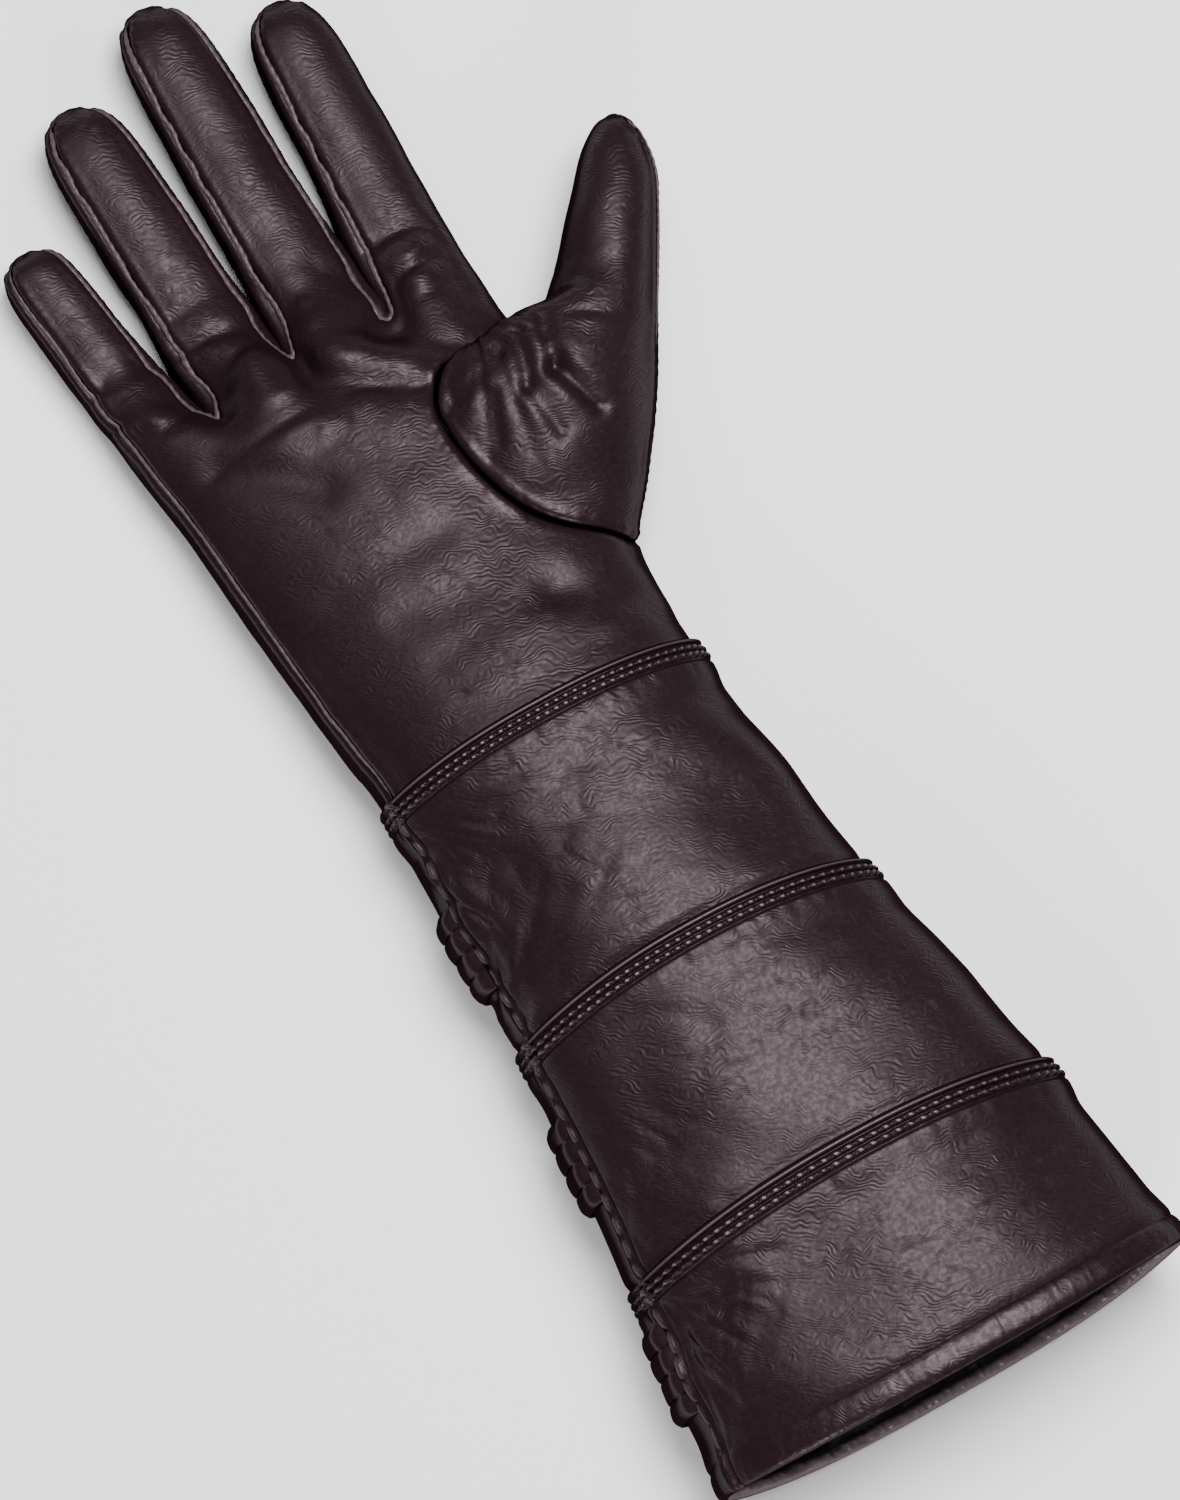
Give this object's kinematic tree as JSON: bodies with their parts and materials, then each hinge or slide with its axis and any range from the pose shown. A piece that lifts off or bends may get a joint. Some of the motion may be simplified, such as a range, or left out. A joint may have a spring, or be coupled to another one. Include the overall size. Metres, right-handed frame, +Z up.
{
  "type": "gauntlet glove",
  "caption": "Long leather gauntlet glove for a right hand, lying palm up, with a flared lined cuff, sewn fingers and a set-in thumb.",
  "frame": {"origin": "on the surface the glove lies on, under the middle of its bounding box", "axes": "+Y from the open mouth towards the fingertips, +X towards the thumb, +Z up, out of the palm"},
  "size_m": [0.1544, 0.3928, 0.0585],
  "materials": {
    "palm_leather": "smooth semi-gloss hide with a fine grain, dark plum brown",
    "back_leather": "smooth semi-gloss hide with a fine grain, dark plum brown",
    "fourchette_leather": "smooth semi-gloss hide with a fine grain, dark plum brown",
    "thumb_leather": "smooth semi-gloss hide with a fine grain, dark plum brown",
    "gauntlet_leather": "smooth semi-gloss hide with a fine grain, dark plum brown",
    "hem_leather": "rolled semi-gloss hide, dark plum brown",
    "band_leather": "padded semi-gloss hide, dark plum brown",
    "lining_fabric": "matte woven lining, near black"
  },
  "bodies": {
    "root": {"palm": "palm_leather", "back": "back_leather", "fourchette_little": "fourchette_leather", "fourchette_ring": "fourchette_leather", "fourchette_middle": "fourchette_leather", "thumb": "thumb_leather", "gauntlet_upper": "gauntlet_leather", "gauntlet_middle": "gauntlet_leather", "gauntlet_lower": "gauntlet_leather", "hem": "hem_leather", "lining": "lining_fabric", "band_upper": "band_leather", "band_middle": "band_leather", "band_lower": "band_leather"}
  },
  "joints": []
}
